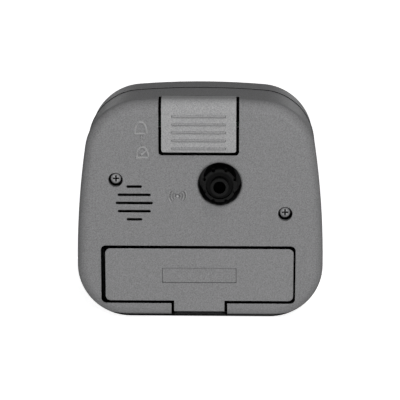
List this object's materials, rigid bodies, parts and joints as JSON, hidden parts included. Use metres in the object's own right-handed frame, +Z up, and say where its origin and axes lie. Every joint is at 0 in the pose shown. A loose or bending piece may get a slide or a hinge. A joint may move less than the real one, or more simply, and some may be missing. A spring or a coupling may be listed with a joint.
{
  "type": "talking alarm clock",
  "caption": "Small square-shouldered talking alarm clock with ribbed rear alarm slider, setting knob, speaker grille and AA battery door.",
  "frame": {"origin": "middle of the flat base that the clock stands on", "axes": "+Z up, the dial faces -Y, the battery door and knob face +Y, +X is the viewer's right seen from the dial"},
  "size_m": [0.0844, 0.0437, 0.0768],
  "materials": {
    "case_silver": "silver-grey painted, fine satin speckle",
    "door_silver": "silver-grey painted, fine satin speckle",
    "slider_silver": "silver-grey painted, satin",
    "clear_lens": "clear polished plastic",
    "dial_white": "printed matt white",
    "inner_white": "moulded, plain",
    "screw_steel": "zinc plated",
    "knob_black": "moulded black, satin",
    "movement_black": "moulded black, matt",
    "wheel_white": "natural moulded, satin",
    "arbor_steel": "turned steel",
    "hand_black": "matt black lacquer",
    "hand_red": "red lacquer",
    "foam_black": "closed-cell foam",
    "cone_black": "paper cone, coated",
    "board_green": "solder resist, satin",
    "ferrite": "sintered ferrite",
    "copper": "enamelled copper wire",
    "cell_sleeve": "plain printed sleeve",
    "contact_nickel": "nickel plated"
  },
  "bodies": {
    "housing": {"rear_shell": "case_silver", "front_frame": "case_silver", "window_lens": "clear_lens", "dial_plate": "dial_white", "dial_carrier": "inner_white", "housing_screws": "screw_steel", "carrier_screws": "screw_steel", "movement_front_case": "movement_black", "movement_back_case": "movement_black", "train_bridge": "inner_white", "drive_module": "movement_black", "speaker_gasket": "foam_black", "speaker_frame": "arbor_steel", "speaker_cone": "cone_black", "speaker_magnet": "arbor_steel", "switch_board": "board_green", "switch_body": "arbor_steel", "antenna_rod": "ferrite", "antenna_coil": "copper", "main_board": "board_green", "voice_chip": "movement_black", "quartz_crystal": "arbor_steel", "board_capacitor": "movement_black", "talk_board": "board_green", "talk_switch": "movement_black", "battery_cell": "cell_sleeve", "positive_contact": "contact_nickel", "battery_spring": "contact_nickel"},
    "door": {"battery_door": "door_silver"},
    "slider": {"alarm_slider": "slider_silver", "switch_lever": "movement_black"},
    "knob": {"set_knob": "knob_black", "set_arbor": "wheel_white"},
    "alarm": {"alarm_wheel": "wheel_white", "alarm_hand": "hand_red"},
    "hour": {"hour_wheel": "wheel_white", "hour_hand": "hand_black"},
    "minute": {"centre_wheel": "wheel_white", "minute_hand": "hand_black"},
    "third": {"third_wheel": "wheel_white"},
    "second": {"second_arbor": "arbor_steel", "second_hand": "hand_red"},
    "reduction": {"reduction_wheel": "wheel_white"},
    "talk": {"talk_button": "slider_silver", "talk_plunger": "knob_black"}
  },
  "joints": [
    {"name": "battery_door_hinge", "type": "hinge", "parent": "housing", "child": "door", "pos_m": [0.0002, 0.019, 0.0255], "axis": [1, 0, 0], "range_deg": [0, 75]},
    {"name": "alarm_slide", "type": "slide", "parent": "housing", "child": "slider", "axis": [0, 0, 1], "range_m": [0, 0.0045]},
    {"name": "knob_turn", "type": "hinge", "parent": "housing", "child": "knob", "pos_m": [-0.0067, 0, 0.0476], "axis": [0, 1, 0], "continuous": true},
    {"name": "alarm_turn", "type": "hinge", "parent": "housing", "child": "alarm", "pos_m": [0, 0, 0.042], "axis": [0, 1, 0], "continuous": true},
    {"name": "minute_turn", "type": "hinge", "parent": "housing", "child": "minute", "pos_m": [0, 0, 0.042], "axis": [0, 1, 0], "continuous": true},
    {"name": "reduction_turn", "type": "hinge", "parent": "housing", "child": "reduction", "pos_m": [0.00727, 0, 0.0378], "axis": [0, 1, 0], "continuous": true},
    {"name": "hour_turn", "type": "hinge", "parent": "housing", "child": "hour", "pos_m": [0, 0, 0.042], "axis": [0, 1, 0], "continuous": true},
    {"name": "third_turn", "type": "hinge", "parent": "housing", "child": "third", "pos_m": [-0.00771, 0, 0.0392], "axis": [0, 1, 0], "continuous": true},
    {"name": "second_turn", "type": "hinge", "parent": "housing", "child": "second", "pos_m": [0, 0, 0.042], "axis": [0, 1, 0], "continuous": true},
    {"name": "talk_press", "type": "slide", "parent": "housing", "child": "talk", "axis": [0, 1, 0], "range_m": [0, 0.0008], "stiffness_N_per_m": 900, "springref_m": -0.0004}
  ],
  "couplings": [
    {"joint": "alarm_turn", "follows": "knob_turn", "ratio": -0.33333},
    {"joint": "reduction_turn", "follows": "minute_turn", "ratio": -0.33333},
    {"joint": "hour_turn", "follows": "minute_turn", "ratio": 0.083333},
    {"joint": "third_turn", "follows": "minute_turn", "ratio": -8},
    {"joint": "second_turn", "follows": "minute_turn", "ratio": 60}
  ]
}
